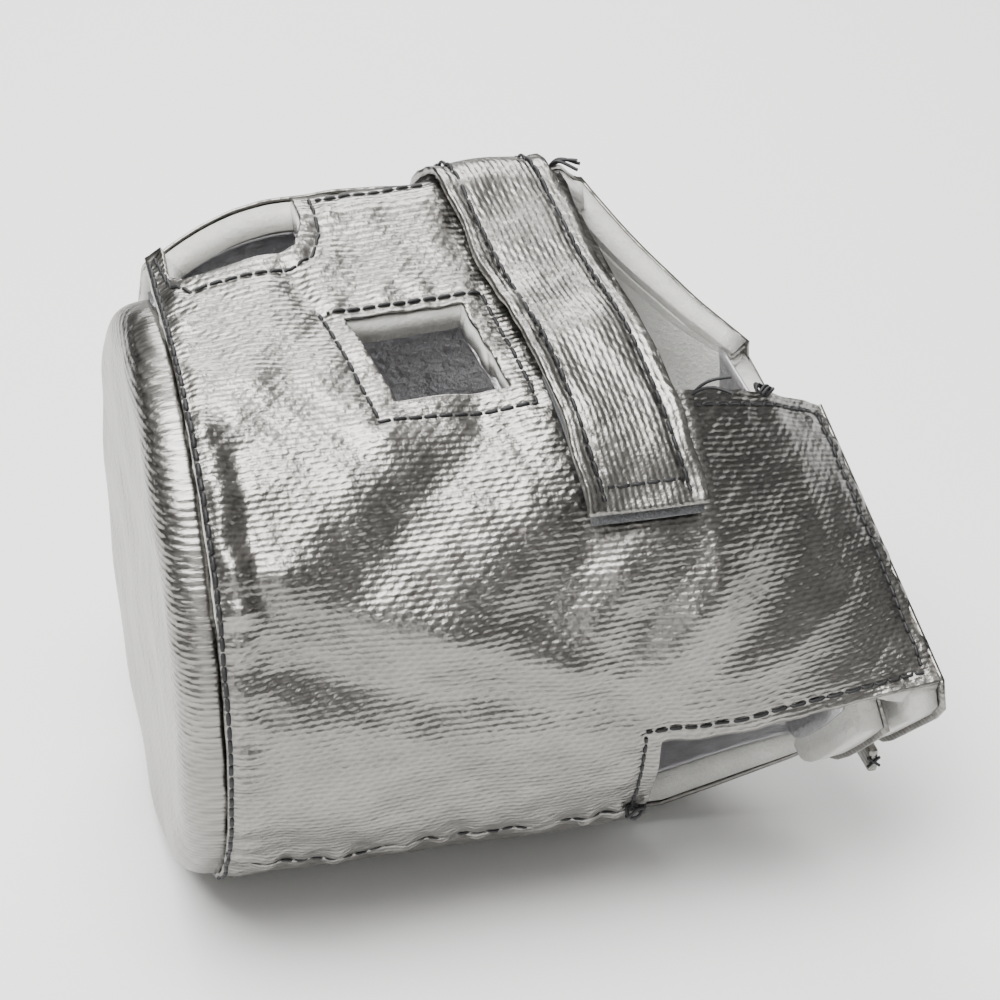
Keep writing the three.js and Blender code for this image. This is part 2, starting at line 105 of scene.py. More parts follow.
FOLDS = (
    Fold((49, 123), (8, 152), 7, 1.6),
    Fold((73, 141), (36, 170), 8, 1.5),
    Fold((90, 150), (69, 177), 7, 1.4),
    Fold((108, 156), (86, 177), 6, 1.6),
    Fold((131, 168), (111, 179), 5, 1.3),
    Fold((60, 128), (18, 160), 6, -1.2),
    Fold((82, 144), (52, 175), 6, -1.1),
    Fold((99, 152), (80, 177), 5, -1.2),
    Fold((120, 160), (100, 178), 5, -1.0),
    Fold((8, 146), (78, 176), 6, 2.0),
    Fold((3, 163), (42, 175), 6, -2.6),
    Fold((42, 175), (86, 183), 6, -1.8),
    Fold((28, 86), (32, 96), 2.5, -1.4),
    Fold((3, 119), (5, 168), 3.5, 1.8),
    Fold((8.5, 125), (10, 160), 2.2, -1.4),
    Fold((68, 98), (74, 128), 5, 1.2),
    Fold((14, 200), (60, 210), 7, 1.2),
    Fold((104, 128), (125, 150), 7, -1.6),
    Fold((20, 96), (10, 118), 6, 1.0),
    Fold((10, 260), (70, 250), 9, 1.2),
    Fold((20, 300), (90, 330), 10, 1.5),
    Fold((15, 355), (80, 372), 8, -1.4),
    Fold((70, 290), (120, 280), 9, -1.5),
)


@dataclass(frozen=True)
class Sleeve:
    """The sleeve's surface, in millimetres from its axis and its cap seam.

    Angles are 0 at the back, 90 at the top and 180 at the front.
    """

    radius: float = 64
    axis_height: float = 63
    length: float = 147
    taper_start: float = 104
    cap_reach: float = 73
    apex_reach: float = 87
    apex_ramp: float = 32
    apex_angle: float = 67
    flare_angle: float = 50
    flare: tuple[float, float] = (90, 104)
    softness: float = 7
    end_top: tuple[float, float] = (6, 25)
    end_front: tuple[float, float] = (-66, -13.5)
    end_bottom: tuple[float, float] = (-34, -45)
    end_front_angle: float = 200
    end_bottom_angle: float = 235
    end_skew: float = 9
    hem_angle: float = 122
    wall: float = 8
    inner_end: float = 135.9
    bottom_seam: float = 218
    notch_start: float = 92
    notch_top: float = 193
    notch_bottom: float = 247
    mouth: tuple[float, float] = (92.5, 101)

    def per_degree(self) -> float:
        """Gives the millimetres round the sleeve for one degree.

        Returns:
            The arc's length.
        """
        return self.radius * DEGREE

    def apex(self, x: np.ndarray) -> np.ndarray:
        """Gives the angle of the apex along the sleeve.

        Args:
            x: Places along the sleeve.

        Returns:
            The angles in degrees.
        """
        share = ramp(x, *self.flare)
        return mix(self.apex_angle, self.flare_angle, share * share * (3 - 2 * share))

    def ring(self, angle: np.ndarray, x: np.ndarray) -> tuple[np.ndarray, np.ndarray]:
        """Gives the section that is a circle drawn out to an apex.

        Args:
            angle: Angles in degrees.
            x: Places along the sleeve.

        Returns:
            The y and z values.
        """
        reach = mix(self.cap_reach, self.apex_reach, np.sin(ramp(x, 0, self.apex_ramp) * math.pi / 2))
        lean = np.degrees(np.arccos(self.radius / reach))
        turn = angle - self.apex(x)
        away = np.abs(turn - 360 * np.round(turn / 360))
        drawn = self.radius / np.where(away < lean, np.cos(np.radians(lean - away)), 1)
        return drawn * np.cos(np.radians(angle)), drawn * np.sin(np.radians(angle))

    def end(self, angle: np.ndarray) -> tuple[np.ndarray, np.ndarray]:
        """Gives the triangle of the flattened end.

        Args:
            angle: Angles in degrees.

        Returns:
            The y and z values.
        """
        turn = (angle - self.hem_angle) % 360
        stops = np.array([self.hem_angle, self.end_front_angle, self.end_bottom_angle,
                          self.flare_angle + 360, self.hem_angle + 360]) - self.hem_angle
        corners = np.array([self.end_top, self.end_front, self.end_bottom, self.end_top, self.end_top])
        return np.interp(turn, stops, corners[:, 0]), np.interp(turn, stops, corners[:, 1])

    def section(self, angle: np.ndarray, x: np.ndarray) -> tuple[np.ndarray, np.ndarray]:
        """Gives the section with soft corners, flat where it rests.

        Args:
            angle: Angles in degrees.
            x: Places along the sleeve.

        Returns:
            The y and z values.
        """
        share = ramp(x, self.taper_start, self.length)
        y, z = 0.0, 0.0
        steps = (-1, -0.5, 0, 0.5, 1)
        for step in steps:
            near = angle + step * self.softness
            ring_y, ring_z = self.ring(near, x)
            end_y, end_z = self.end(near)
            y = y + mix(ring_y, end_y, share) / len(steps)
            z = z + mix(ring_z, end_z, share) / len(steps)
        return y, np.maximum(z, -self.axis_height)

    def place(self, x: np.ndarray, angle: np.ndarray, depth: np.ndarray | float = 0.0) -> np.ndarray:
        """Gives places on the sleeve.

        Args:
            x: Places along it.
            angle: Angles round it.
            depth: How far in from its outer face.

        Returns:
            An array of points, in millimetres from the axis.
        """
        x, angle = np.broadcast_arrays(np.asarray(x, float), np.asarray(angle, float))
        y0, z0 = self.section(angle - 0.5, x)
        y1, z1 = self.section(angle + 0.5, x)
        size = np.hypot(y1 - y0, z1 - z0) + 1e-12
        y, z = self.section(angle, x)
        y = y - depth * (z1 - z0) / size
        z = z + depth * (y1 - y0) / size
        return np.stack([x + self.skew(x, y), y, z], -1)

    def skew(self, x: np.ndarray, y: np.ndarray) -> np.ndarray:
        """Gives how far the end is drawn out along the sleeve by its slanting cut.

        Args:
            x: Places along the sleeve.
            y: Places across it.

        Returns:
            The shift along the sleeve.
        """
        share = ramp(x, self.taper_start, self.inner_end - self.wall)
        return share * self.end_skew * (self.end_top[0] - y) / (self.end_top[0] - self.end_front[0])


SLEEVE = Sleeve()


def frame_shift() -> np.ndarray:
    """Finds the row frame's place of the sleeve's own origin from the CAD cap.

    Returns:
        The shift in metres.
    """
    low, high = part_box("cap_felt")
    cloth_low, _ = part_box("cap_cloth")
    return np.array([cloth_low[0] + 9 * MM, (low[1] + high[1]) / 2, (low[2] + high[2]) / 2])


SHIFT = frame_shift()


def flat_distance(x: np.ndarray, angle: np.ndarray, start: Sequence[float],
                  end: Sequence[float]) -> tuple[np.ndarray, np.ndarray]:
    """Measures from flat places to a line between two places.

    Args:
        x: Places along the sleeve.
        angle: Angles round it.
        start: The line's first [along, angle] place.
        end: Its last place.

    Returns:
        The distance in millimetres, and how far along the line in millimetres.
    """
    arc = SLEEVE.per_degree()
    origin = np.array([start[0], start[1] * arc])
    line = np.array([end[0], end[1] * arc]) - origin
    length = float(np.hypot(*line))
    away = np.stack([x, angle * arc], -1) - origin
    along = np.clip(away @ line / length, 0, length)
    gap = away - along[..., None] * line / length
    return np.hypot(gap[..., 0], gap[..., 1]), along


def waves(x: np.ndarray, y: np.ndarray, seed: int, length: float, count: int = 7) -> np.ndarray:
    """Adds a few plane waves into an uneven field with no grid.

    Args:
        x: First flat value in millimetres.
        y: Second flat value.
        seed: Which field.
        length: The usual wavelength.
        count: How many waves.

    Returns:
        The field, mostly between -1 and 1.
    """
    random = np.random.default_rng(seed)
    total = 0.0
    for _ in range(count):
        turn, phase = random.uniform(0, 2 * math.pi, 2)
        number = 2 * math.pi / (length * random.uniform(0.7, 1.5))
        total = total + np.sin(number * (x * math.cos(turn) + y * math.sin(turn)) + phase)
    return total / math.sqrt(count)


# The groove that stitching pulls into the wall, and the puckers beside it, in millimetres
GROOVE_DEPTH = 0.45
GROOVE_WIDTH = 1.5
PUCKER_HEIGHT = 0.32
PUCKER_OUT = 3.2
PUCKER_WIDTH = 2.8
GATHERED = ("cap_seam", "bottom_seam")

# Runs of stitching as [along, angle] places
ROUTES: dict[str, Route] = {
    "arch_seam": ((2.3, 70.1), (4, 80.5), (7.5, 84.1), (29, 84.1), (34, 82), (36.5, 78), (36.5, 70.1)),
    "top_hem_seam": ((37.9, 70.1), (62.1, 70.1)),
    "window_seam": ((32.4, 94.9), (38.9, 122.1), (71.6, 122.1), (66.6, 94.9), (33.8, 94.9)),
    "front_hem_seam": ((104.7, 125.1), (142.1, 125.1)),
    "end_edge_seam": ((143.5, 125.1), (143.5, 188.3)),
    "notch_hem_seam": ((88.5, 189.9), (104, 189.9), (143.5, 189.9)),
    "notch_side_seam": ((88.5, 191.4), (88.5, 214.9)),
    "bottom_seam": ((3.9, 218), (91.3, 218)),
    "cap_seam": ((1.1, 70.1), (1.1, 252)),
}


def seam_relief(x: np.ndarray, angle: np.ndarray) -> np.ndarray:
    """Draws the cloth down along its stitching, with puckers beside it.

    Args:
        x: Places along the sleeve.
        angle: Angles round it.

    Returns:
        How far the cloth stands out, in millimetres.
    """
    relief = np.zeros_like(x)
    for name, route in ROUTES.items():
        strong = 2.0 if name in GATHERED else 1.0
        for start, end in zip(route, route[1:]):
            gap, along = flat_distance(x, angle, start, end)
            relief = relief - GROOVE_DEPTH * strong * np.exp(-((gap / GROOVE_WIDTH) ** 2))
            pucker = np.sin(along * 0.62 + 1.7 * np.sin(along * 0.19 + start[0]))
            beside = np.exp(-(((gap - PUCKER_OUT) / PUCKER_WIDTH) ** 2))
            relief = relief + PUCKER_HEIGHT * strong * pucker * beside
    return relief


def wall_relief(x: np.ndarray, angle: np.ndarray) -> np.ndarray:
    """Gives the soft wall's folds and lumps, shared by its three plies.

    Args:
        x: Places along the sleeve.
        angle: Angles round it.

    Returns:
        How far the wall stands out, in millimetres.
    """
    arc = angle * SLEEVE.per_degree()
    relief = 0.35 * waves(x, arc, 3, 34) + 0.16 * waves(x, arc, 8, 13)
    for fold in FOLDS:
        gap, along = flat_distance(x, angle, fold.start, fold.end)
        length = math.hypot(fold.end[0] - fold.start[0],
                            (fold.end[1] - fold.start[1]) * SLEEVE.per_degree())
        fade = np.sin(math.pi * np.clip(mix(0.12, 0.88, along / length), 0, 1)) ** 0.6
        relief = relief + fold.height * fade * np.exp(-((gap / fold.width) ** 2))
    quiet = 1 - 0.85 * np.exp(-(((angle % 360 - 270) / 30) ** 2))
    return (relief + seam_relief(x, angle)) * quiet


def crumple(x: np.ndarray, angle: np.ndarray) -> np.ndarray:
    """Gives the outer cloth's own small wrinkles, densest along the cap and bottom seams.

    Args:
        x: Places along the sleeve.
        angle: Angles round it.

    Returns:
        How far the cloth stands off the felt, at least 0, in millimetres.
    """
    arc = angle * SLEEVE.per_degree()
    near_cap = np.exp(-((x / 12) ** 2)) * np.exp(-(((angle - 150) / 42) ** 2))
    near_bottom = np.exp(-(((angle - 216) / 8) ** 2)) * np.exp(-(((x - 40) / 50) ** 2))
    lively = 0.12 + 1.1 * near_cap + 0.8 * near_bottom
    sharp = 1 - np.abs(waves(x, arc, 21, 9, 5))
    return lively * np.clip(0.8 + 0.6 * sharp, 0, 2)


class Shape:
    """Helpers that make and cut meshes with Blender's own operators."""

    @staticmethod
    def grid(columns: int, rows: int) -> bmesh.types.BMesh:
        """Makes a flat grid from 0 to 1 each way.

        Args:
            columns: Faces along x.
            rows: Faces along y.

        Returns:
            The grid.
        """
        mesh = bmesh.new()
        bmesh.ops.create_grid(mesh, x_segments=columns, y_segments=rows, size=0.5)
        bmesh.ops.translate(mesh, verts=mesh.verts, vec=(0.5, 0.5, 0))
        return mesh

    @staticmethod
    def flat(x: tuple[float, float], angle: tuple[float, float], step: float) -> bmesh.types.BMesh:
        """Makes a grid over a piece of the sleeve, with x along it and y the angle.

        Args:
            x: From where to where along the sleeve.
            angle: From where to where round it.
            step: The faces' size in millimetres.

        Returns:
            The grid.
        """
        columns = max(2, round((x[1] - x[0]) / step))
        rows = max(2, round((angle[1] - angle[0]) * SLEEVE.per_degree() / step))
        mesh = Shape.grid(columns, rows)
        bmesh.ops.scale(mesh, verts=mesh.verts, vec=(x[1] - x[0], angle[1] - angle[0], 1))
        bmesh.ops.translate(mesh, verts=mesh.verts, vec=(x[0], angle[0], 0))
        return mesh

    @staticmethod
    def cut(mesh: bmesh.types.BMesh, outline: Route) -> None:
        """Cuts a hole with a convex outline out of a flat grid.

        Args:
            mesh: The grid.
            outline: The hole's corners, in order.
        """
        corners = np.array(outline, float)
        middle = corners.mean(axis=0)
        low, high = corners.min(axis=0) - 4, corners.max(axis=0) + 4
        sides = []
        for start, end in zip(corners, np.roll(corners, -1, axis=0)):
            normal = np.array([end[1] - start[1], start[0] - end[0]])
            normal /= np.hypot(*normal)
            sides.append((start, normal if (middle - start) @ normal < 0 else -normal))
        for start, normal in sides:
            near = [f for f in mesh.faces
                    if low[0] < f.calc_center_median().x < high[0]
                    and low[1] < f.calc_center_median().y < high[1]]
            parts = set(near) | {e for f in near for e in f.edges} | {v for f in near for v in f.verts}
            bmesh.ops.bisect_plane(mesh, geom=list(parts), dist=1e-5,
                                   plane_co=(*start, 0), plane_no=(*normal, 0))
        inside = []
        for face in mesh.faces:
            centre = np.array(face.calc_center_median()[:2])
            if all((centre - start) @ normal < 1e-6 for start, normal in sides):
                inside.append(face)
        bmesh.ops.delete(mesh, geom=inside, context="FACES")

    @staticmethod
    def bend(mesh: bmesh.types.BMesh, where: Bend) -> None:
        """Lays the flat places down as UV in millimetres, and moves each vertex to its place.

        Args:
            mesh: The flat mesh.
            where: Gives points in millimetres from the flat x and y.
        """
        layer = mesh.loops.layers.uv.new("Cloth")
        arc = SLEEVE.per_degree()
        for face in mesh.faces:
            for loop in face.loops:
                loop[layer].uv = (loop.vert.co.x, loop.vert.co.y * arc)
        flat = np.array([vertex.co[:2] for vertex in mesh.verts])
        points = where(flat[:, 0], flat[:, 1]) * MM + SHIFT
        for vertex, point in zip(mesh.verts, points):
            vertex.co = point


    @staticmethod
    def end_uv(mesh: bmesh.types.BMesh) -> None:
        """Lays down UV in millimetres as seen along the sleeve.

        Args:
            mesh: A mesh that is already in its place.
        """
        layers = mesh.loops.layers.uv
        layer = layers.get("Cloth") or layers.new("Cloth")
        for face in mesh.faces:
            for loop in face.loops:
                loop[layer].uv = (loop.vert.co.y / MM, loop.vert.co.z / MM)

    @staticmethod
    def facing(mesh: bmesh.types.BMesh, sign: int) -> bmesh.types.BMesh:
        """Turns a nearly flat sheet so that it faces along the sleeve.

        Args:
            mesh: The sheet.
            sign: 1 to face along +X, -1 along -X.

        Returns:
            The same mesh.
        """
        mesh.normal_update()
        total = sum(face.normal.x * face.calc_area() for face in mesh.faces)
        if total * sign < 0:
            bmesh.ops.reverse_faces(mesh, faces=mesh.faces)
        return mesh


class Finish(Enum):
    """The finishes, each with a short name."""

    CLOTH = "aluminised_cloth"
    FELT = "felt"
    LINING = "lining"
    HOOK = "hook_and_loop"
    THREAD = "thread"


def linear(colour: str) -> tuple[float, float, float, float]:
    """Turns an sRGB hex colour to the linear values that shaders take.

    Args:
        colour: Such as "#a0a0a0".

    Returns:
        Red, green, blue and alpha.
    """
    values = [int(colour[i:i + 2], 16) / 255 for i in (1, 3, 5)]
    red, green, blue = (v / 12.92 if v <= 0.04045 else ((v + 0.055) / 1.055) ** 2.4 for v in values)
    return red, green, blue, 1.0


class Shader:
    """A material being built, with a short way to add its nodes."""

    def __init__(self, name: str) -> None:
        """Starts a material with its main shader.

        Args:
            name: The material's name.
        """
        self.material = bpy.data.materials.new(name)
        self.material.use_nodes = True
        self.tree = self.material.node_tree
        self.main = self.tree.nodes["Principled BSDF"]

    def node(self, kind: str, links: dict | None = None, **settings: object) -> bpy.types.Node:
        """Adds a node.

        Args:
            kind: Its type.
            links: What goes into its inputs: a socket to link, or a plain value.
            settings: Its own properties.

        Returns:
            The node.
        """
        made = self.tree.nodes.new(kind)
        for name, value in settings.items():
            setattr(made, name, value)
        for name, value in (links or {}).items():
            if isinstance(value, bpy.types.NodeSocket):
                self.tree.links.new(value, made.inputs[name])
            else:
                made.inputs[name].default_value = value
        return made

    def maths(self, operation: str, first: object, second: object = 0.0) -> bpy.types.NodeSocket:
        """Adds one step of arithmetic.

        Args:
            operation: Which one.
            first: A socket or number.
            second: Another.

        Returns:
            The result's socket.
        """
        return self.node("ShaderNodeMath", {0: first, 1: second}, operation=operation).outputs[0]

    def set(self, name: str, value: object) -> None:
        """Sets or links an input of the main shader.

        Args:
            name: The input.
            value: A socket or plain value.
        """
        if isinstance(value, bpy.types.NodeSocket):
            self.tree.links.new(value, self.main.inputs[name])
        else:
            self.main.inputs[name].default_value = value

    def colours(self, factor: bpy.types.NodeSocket, dark: str, light: str) -> bpy.types.NodeSocket:
        """Mixes two colours.

        Args:
            factor: How far towards the light one.
            dark: The first colour.
            light: The second colour.

        Returns:
            The mixed colour.
        """
        mixer = self.node("ShaderNodeMix", {0: factor, 6: linear(dark), 7: linear(light)},
                          data_type="RGBA", clamp_factor=True)
        return mixer.outputs[2]


@dataclass(frozen=True)
class AluminisedCloth:
    """Woven glass cloth with a metal film: a grey sheen that follows the light, with fine ribs."""

    name: str = "aluminised cloth"
    rib_pitch: float = 1.3
    dash_pitch: float = 2.6
    roughness: float = 0.25

    def build(self) -> bpy.types.Material:
        """Builds the material.

        Returns:
            The material.
        """
        shader = Shader(self.name)
        uv = shader.node("ShaderNodeUVMap", uv_map="Cloth").outputs[0]
        parts = shader.node("ShaderNodeSeparateXYZ", {0: uv})
        across = shader.maths("MULTIPLY", parts.outputs[1], 2 * math.pi / self.rib_pitch)
        along = shader.maths("MULTIPLY", parts.outputs[0], 2 * math.pi / self.dash_pitch)
        rib = shader.maths("SINE", across)
        slanted = shader.maths("ADD", along, shader.maths("MULTIPLY", across, 0.5))
        dash = shader.maths("SINE", slanted)
        weave = shader.maths("ADD", shader.maths("MULTIPLY", rib, 0.62), shader.maths("MULTIPLY", dash, 0.38))
        patches = shader.node("ShaderNodeTexNoise", {"Vector": uv, "Scale": 0.09, "Detail": 4.0})
        specks = shader.node("ShaderNodeTexNoise", {"Vector": uv, "Scale": 1.4, "Detail": 2.0})
        shade = shader.maths("ADD", shader.maths("MULTIPLY", patches.outputs[0], 0.6),
                             shader.maths("MULTIPLY", specks.outputs[0], 0.4))
        # The film is worn unevenly, so the grey wanders a little at random; the weave term adds a painted
        # highlight, lighter rib tops and darker grooves, where light catches the ribs.
        shade = shader.maths("ADD", shade, shader.maths("MULTIPLY", weave, 0.16))
        shader.set("Base Color", shader.colours(shade, "#615f5c", "#a3a19c"))
        shader.set("Metallic", 1.0)
        rough = shader.maths("ADD", self.roughness, shader.maths("MULTIPLY", specks.outputs[0], 0.12))
        shader.set("Roughness", rough)
        fine = shader.node("ShaderNodeBump", {"Height": weave, "Strength": 0.55, "Distance": 0.00012})
        creased = shader.node("ShaderNodeTexNoise",
                              {"Vector": uv, "Scale": 0.16, "Detail": 6.0, "Roughness": 0.55})
        big = shader.node("ShaderNodeBump", {"Height": creased.outputs[0], "Strength": 0.7,
                                             "Distance": 0.0016, "Normal": fine.outputs[0]})
        shader.set("Normal", big.outputs[0])
        return shader.material


@dataclass(frozen=True)
class FoilLining:
    """Thin foil-faced lining: duller and darker than the outer cloth, with small crinkles."""

    name: str = "foil lining"

    def build(self) -> bpy.types.Material:
        """Builds the material.

        Returns:
            The material.
        """
        shader = Shader(self.name)
        uv = shader.node("ShaderNodeUVMap", uv_map="Cloth").outputs[0]
        crinkle = shader.node("ShaderNodeTexNoise",
                              {"Vector": uv, "Scale": 0.25, "Detail": 5.0, "Roughness": 0.6})
        shader.set("Base Color", shader.colours(crinkle.outputs[0], "#9b9a9d", "#e0dfe2"))
        shader.set("Metallic", 0.9)
        shader.set("Roughness", 0.4)
        bump = shader.node("ShaderNodeBump", {"Height": crinkle.outputs[0], "Strength": 0.8,
                                              "Distance": 0.0014})
        shader.set("Normal", bump.outputs[0])
        return shader.material


@dataclass(frozen=True)
class NeedledFelt:
    """White needled felt: a soft matt edge with short tangled fibres."""

    name: str = "needled felt"

    def build(self) -> bpy.types.Material:
        """Builds the material.

        Returns:
            The material.
        """
        shader = Shader(self.name)
        place = shader.node("ShaderNodeTexCoord").outputs["Object"]
        fibre = shader.node("ShaderNodeTexNoise",
                            {"Vector": place, "Scale": 900.0, "Detail": 6.0, "Roughness": 0.75})
        tuft = shader.node("ShaderNodeTexNoise", {"Vector": place, "Scale": 220.0, "Detail": 3.0})
        shade = shader.maths("ADD", shader.maths("MULTIPLY", fibre.outputs[0], 0.7),
                             shader.maths("MULTIPLY", tuft.outputs[0], 0.5))
        shader.set("Base Color", shader.colours(shade, "#a9a8a2", "#e6e5e0"))
        shader.set("Roughness", 1.0)
        shader.set("Sheen Weight", 0.25)
        bump = shader.node("ShaderNodeBump", {"Height": shade, "Strength": 0.9, "Distance": 0.0007})
        shader.set("Normal", bump.outputs[0])
        return shader.material


@dataclass(frozen=True)
class Fuzzy:
    """Grey hook and loop tape: dark, matt and hairy."""

    name: str = "hook and loop"

    def build(self) -> bpy.types.Material:
        """Builds the material.

        Returns:
            The material.
        """
        shader = Shader(self.name)
        place = shader.node("ShaderNodeTexCoord").outputs["Object"]
        fuzz = shader.node("ShaderNodeTexNoise",
                           {"Vector": place, "Scale": 1500.0, "Detail": 4.0, "Roughness": 0.7})
        shader.set("Base Color", shader.colours(fuzz.outputs[0], "#3c3d3f", "#8c8d8f"))
        shader.set("Roughness", 1.0)
        bump = shader.node("ShaderNodeBump", {"Height": fuzz.outputs[0], "Strength": 1.0,
                                              "Distance": 0.0006})
        shader.set("Normal", bump.outputs[0])
        return shader.material


@dataclass(frozen=True)
class SewingThread:
    """Black waxed thread: nearly black, with a faint gleam along its twist."""

    name: str = "black thread"

    def build(self) -> bpy.types.Material:
        """Builds the material.

        Returns:
            The material.
        """
        shader = Shader(self.name)
        shader.set("Base Color", linear("#151517"))
        shader.set("Roughness", 0.6)
        return shader.material


@dataclass(frozen=True)
class PaleFloor:
    """A matt white studio floor that runs out past the picture."""

    name: str = "pale floor"

    def build(self) -> bpy.types.Material:
        """Builds the material.

        Returns:
            The material.
        """
        shader = Shader(self.name)
        shader.set("Base Color", linear("#f4f4f3"))
        shader.set("Roughness", 0.9)
        return shader.material


def piece_name(words: str) -> str:
    """Gives a piece's name, which differs from its CAD node's.

    Args:
        words: What the piece is.

    Returns:
        The name with underscores and the ending _look.
    """
    return f"{words.replace(' ', '_')}_look"


class Workshop:
    """Makes the finished pieces, hands out their materials and ties them to the frame."""

    def __init__(self) -> None:
        """Builds the materials once."""
        builders = {Finish.CLOTH: AluminisedCloth(), Finish.FELT: NeedledFelt(),
                    Finish.LINING: FoilLining(), Finish.HOOK: Fuzzy(), Finish.THREAD: SewingThread()}
        self.materials = {finish: builder.build() for finish, builder in builders.items()}

    def piece(self, name: str, mesh: bmesh.types.BMesh, finish: Finish, nodes: Sequence[str],
              thickness: float = 0.0) -> bpy.types.Object:
        """Finishes a mesh as a piece of the shield.

        Args:
            name: The piece's name.
            mesh: Its geometry, in metres.
            finish: What it is made of.
            nodes: The CAD nodes that it stands for.
            thickness: Its thickness in millimetres, which grows inwards, where it is a sheet so far.

        Returns:
            The object.
        """
        if not thickness:
            bmesh.ops.recalc_face_normals(mesh, faces=mesh.faces)
        name = piece_name(name)
        data = bpy.data.meshes.new(name)
        mesh.to_mesh(data)
        mesh.free()
        made = bpy.data.objects.new(name, data)
        bpy.context.scene.collection.objects.link(made)
        for polygon in data.polygons:
            polygon.use_smooth = True
        if thickness:
            solid = made.modifiers.new("Thickness", "SOLIDIFY")
            solid.thickness = thickness * MM
            solid.offset = -1
        data.materials.append(self.materials[finish])
        self.tie(made, nodes)
        return made

    def tie(self, made: bpy.types.Object, nodes: Sequence[str]) -> None:
        """Ties a piece to the frame.

        Args:
            made: The piece.
            nodes: The CAD nodes that it stands for.
        """
        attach(made, "root")
        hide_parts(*nodes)
        LOG.info("%s: %d faces", made.name, len(made.data.polygons))

    def threads(self, name: str, runs: Sequence[np.ndarray], nodes: Sequence[str],
                radius: float = 0.38) -> bpy.types.Object:
        """Makes thread as a round tube along each run of points.

        Args:
            name: The piece's name.
            runs: Points in millimetres, from the sleeve's own origin.
            nodes: The CAD nodes that it stands for.
            radius: The thread's radius in millimetres.

        Returns:
            The object.
        """
        name = piece_name(name)
        curve = bpy.data.curves.new(name, "CURVE")
        curve.dimensions = "3D"
        curve.bevel_depth = radius * MM
        curve.bevel_resolution = 2
        curve.use_fill_caps = True
        for run in runs:
            line = curve.splines.new("POLY")
            line.points.add(len(run) - 1)
            for point, place in zip(line.points, run * MM + SHIFT):
                point.co = (*place, 1)
        source = bpy.data.objects.new(name + " line", curve)
        data = bpy.data.meshes.new_from_object(source)
        bpy.data.objects.remove(source)
        data.name = name
        for polygon in data.polygons:
            polygon.use_smooth = True
        made = bpy.data.objects.new(name, data)
        bpy.context.scene.collection.objects.link(made)
        data.materials.append(self.materials[Finish.THREAD])
        self.tie(made, nodes)
        return made


# Each ply's depth under the outer face and its thickness, in millimetres
LAYERS = {
    "cloth": (0.0, 0.8, Finish.CLOTH),
    "felt": (1.1, 6.0, Finish.FELT),
    "lining": (7.4, 0.6, Finish.LINING),
}


